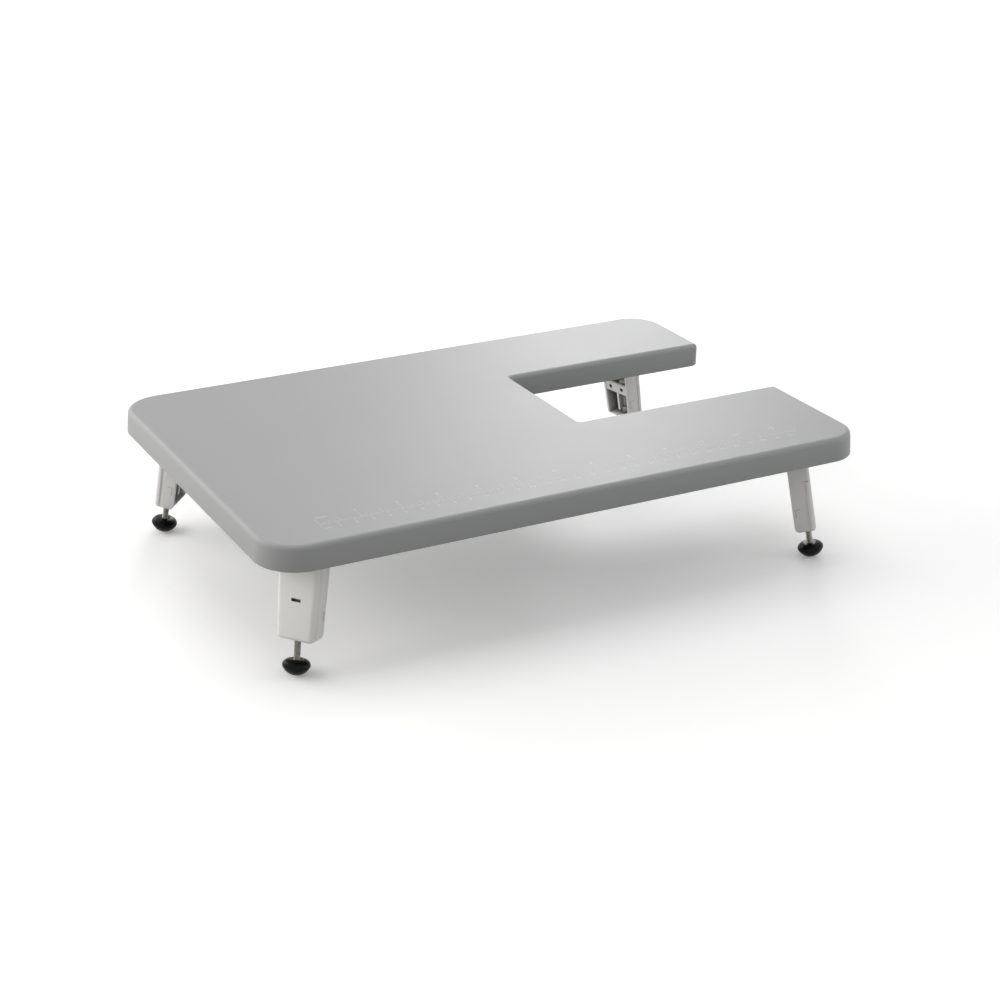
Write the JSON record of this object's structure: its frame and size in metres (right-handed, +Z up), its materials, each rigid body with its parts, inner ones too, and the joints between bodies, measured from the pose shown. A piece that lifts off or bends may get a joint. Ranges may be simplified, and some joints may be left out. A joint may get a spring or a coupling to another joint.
{
  "type": "sewing machine extension table",
  "caption": "Low plastic extension table with a notch for a sewing machine's free arm, folding channel legs and screw feet for levelling.",
  "frame": {"origin": "on the floor, under the centre of the table's outline, with the legs unfolded", "axes": "+X along the length towards the notch, +Y from the ruler's edge to the back, +Z up"},
  "size_m": [0.392, 0.262, 0.0865],
  "materials": {
    "top_plastic": "satin",
    "leg_plastic": "satin",
    "bracket_plastic": "satin",
    "foot_plastic": "gloss",
    "stud_steel": "satin",
    "nut_steel": "satin",
    "pin_steel": "satin",
    "screw_steel": "satin"
  },
  "bodies": {
    "table": {"table_top": "top_plastic", "hinge_bracket_fl": "bracket_plastic", "hinge_bracket_fr": "bracket_plastic", "hinge_bracket_bl": "bracket_plastic", "hinge_bracket_br": "bracket_plastic", "bracket_screw_fl_1": "screw_steel", "bracket_screw_fl_2": "screw_steel", "bracket_screw_fr_1": "screw_steel", "bracket_screw_fr_2": "screw_steel", "bracket_screw_bl_1": "screw_steel", "bracket_screw_bl_2": "screw_steel", "bracket_screw_br_1": "screw_steel", "bracket_screw_br_2": "screw_steel", "hinge_pin_fl": "pin_steel", "hinge_pin_fr": "pin_steel", "hinge_pin_bl": "pin_steel", "hinge_pin_br": "pin_steel"},
    "front_left_leg": {"leg_fl": "leg_plastic", "foot_nut_fl": "nut_steel"},
    "front_right_leg": {"leg_fr": "leg_plastic", "foot_nut_fr": "nut_steel"},
    "back_left_leg": {"leg_bl": "leg_plastic", "foot_nut_bl": "nut_steel"},
    "back_right_leg": {"leg_br": "leg_plastic", "foot_nut_br": "nut_steel"},
    "front_left_stud": {"foot_stud_fl": "stud_steel"},
    "front_right_stud": {"foot_stud_fr": "stud_steel"},
    "back_left_stud": {"foot_stud_bl": "stud_steel"},
    "back_right_stud": {"foot_stud_br": "stud_steel"},
    "front_left_foot": {"foot_pad_fl": "foot_plastic"},
    "front_right_foot": {"foot_pad_fr": "foot_plastic"},
    "back_left_foot": {"foot_pad_bl": "foot_plastic"},
    "back_right_foot": {"foot_pad_br": "foot_plastic"}
  },
  "joints": [
    {"name": "front_left_fold", "type": "hinge", "parent": "table", "child": "front_left_leg", "pos_m": [-0.16189, -0.1, 0.0783], "axis": [0.6157, -0.788, 0], "range_deg": [0, 100.5]},
    {"name": "front_right_fold", "type": "hinge", "parent": "table", "child": "front_right_leg", "pos_m": [0.16088, -0.10145, 0.0783], "axis": [0.5299, 0.848, 0], "range_deg": [0, 100.5]},
    {"name": "back_left_fold", "type": "hinge", "parent": "table", "child": "back_left_leg", "pos_m": [-0.16246, 0.09932, 0.0783], "axis": [-0.6561, -0.7547, 0], "range_deg": [0, 100.5]},
    {"name": "back_right_fold", "type": "hinge", "parent": "table", "child": "back_right_leg", "pos_m": [0.15868, 0.10689, 0.0783], "axis": [-0.2079, 0.9781, 0], "range_deg": [0, 100.5]},
    {"name": "front_left_screw", "type": "slide", "parent": "front_left_leg", "child": "front_left_stud", "axis": [0.1436, 0.1122, 0.9833], "range_m": [-0.0042, 0.0077]},
    {"name": "front_right_screw", "type": "slide", "parent": "front_right_leg", "child": "front_right_stud", "axis": [-0.1545, 0.0966, 0.9833], "range_m": [-0.0042, 0.0077]},
    {"name": "back_left_screw", "type": "slide", "parent": "back_left_leg", "child": "back_left_stud", "axis": [0.1375, -0.1196, 0.9833], "range_m": [-0.0042, 0.0077]},
    {"name": "back_right_screw", "type": "slide", "parent": "back_right_leg", "child": "back_right_stud", "axis": [-0.1783, -0.0379, 0.9833], "range_m": [-0.0042, 0.0077]},
    {"name": "front_left_turn", "type": "hinge", "parent": "front_left_stud", "child": "front_left_foot", "pos_m": [-0.1752, -0.1104, 0.00585], "axis": [0.1436, 0.1122, 0.9833], "range_deg": [-2165, 3965]},
    {"name": "front_right_turn", "type": "hinge", "parent": "front_right_stud", "child": "front_right_foot", "pos_m": [0.1752, -0.1104, 0.00585], "axis": [-0.1545, 0.0966, 0.9833], "range_deg": [-2165, 3965]},
    {"name": "back_left_turn", "type": "hinge", "parent": "back_left_stud", "child": "back_left_foot", "pos_m": [-0.1752, 0.1104, 0.00585], "axis": [0.1375, -0.1196, 0.9833], "range_deg": [-2165, 3965]},
    {"name": "back_right_turn", "type": "hinge", "parent": "back_right_stud", "child": "back_right_foot", "pos_m": [0.1752, 0.1104, 0.00585], "axis": [-0.1783, -0.0379, 0.9833], "range_deg": [-2165, 3965]}
  ],
  "couplings": [
    {"joint": "front_left_turn", "follows": "front_left_screw", "rad_per_m": 8976},
    {"joint": "front_right_turn", "follows": "front_right_screw", "rad_per_m": 8976},
    {"joint": "back_left_turn", "follows": "back_left_screw", "rad_per_m": 8976},
    {"joint": "back_right_turn", "follows": "back_right_screw", "rad_per_m": 8976}
  ]
}
